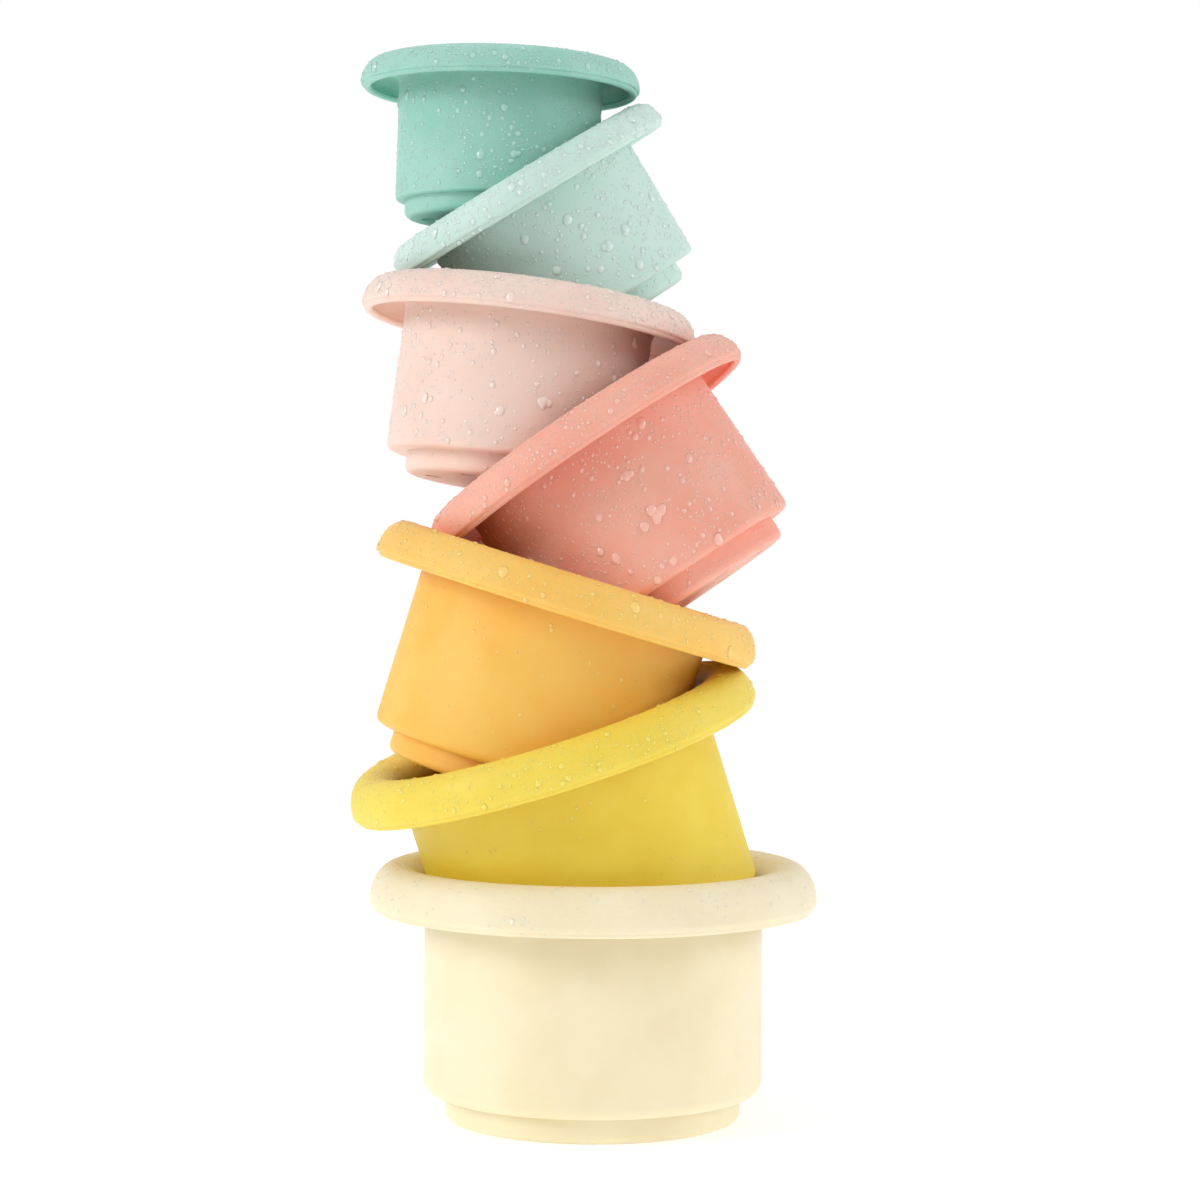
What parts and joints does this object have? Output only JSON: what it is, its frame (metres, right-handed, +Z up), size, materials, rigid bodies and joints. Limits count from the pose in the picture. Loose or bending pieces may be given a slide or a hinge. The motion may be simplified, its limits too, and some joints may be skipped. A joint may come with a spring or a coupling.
{
  "type": "stacking cup tower",
  "caption": "Balanced tower of round silicone stacking cups with wide rolled rims, each smaller cup tilted on the mouth of the one below and free to lift off.",
  "frame": {"origin": "centre of the bottom (cream) cup's foot, on the surface that the tower stands on", "axes": "+Z up, +X to the right seen from the front, the front faces -Y"},
  "size_m": [0.1042, 0.1, 0.2366],
  "materials": {
    "cream_silicone": "soft satin silicone, beaded with water",
    "yellow_silicone": "soft satin silicone, beaded with water",
    "orange_silicone": "soft satin silicone, beaded with water",
    "coral_silicone": "soft satin silicone, beaded with water",
    "blush_silicone": "soft satin silicone, beaded with water",
    "mint_silicone": "soft satin silicone, beaded with water",
    "green_silicone": "soft satin silicone, beaded with water"
  },
  "bodies": {
    "cream": {"cream_cup": "cream_silicone"},
    "yellow": {"yellow_cup": "yellow_silicone"},
    "orange": {"orange_cup": "orange_silicone"},
    "coral": {"coral_cup": "coral_silicone"},
    "blush": {"blush_cup": "blush_silicone"},
    "mint": {"mint_cup": "mint_silicone"},
    "green": {"green_cup": "green_silicone"}
  },
  "joints": [
    {"name": "yellow_lift", "type": "slide", "parent": "cream", "child": "yellow", "axis": [0, 0, 1], "range_m": [0, 0.06]},
    {"name": "orange_lift", "type": "slide", "parent": "yellow", "child": "orange", "axis": [-0.2985, -0.0628, 0.9524], "range_m": [0, 0.06]},
    {"name": "coral_lift", "type": "slide", "parent": "orange", "child": "coral", "axis": [0.2922, 0.0297, 0.9559], "range_m": [0, 0.06]},
    {"name": "blush_lift", "type": "slide", "parent": "coral", "child": "blush", "axis": [-0.5616, 0.0819, 0.8233], "range_m": [0, 0.06]},
    {"name": "mint_lift", "type": "slide", "parent": "blush", "child": "mint", "axis": [0.1265, 0.0976, 0.9872], "range_m": [0, 0.06]},
    {"name": "green_lift", "type": "slide", "parent": "mint", "child": "green", "axis": [-0.5186, -0.0593, 0.853], "range_m": [0, 0.06]}
  ]
}
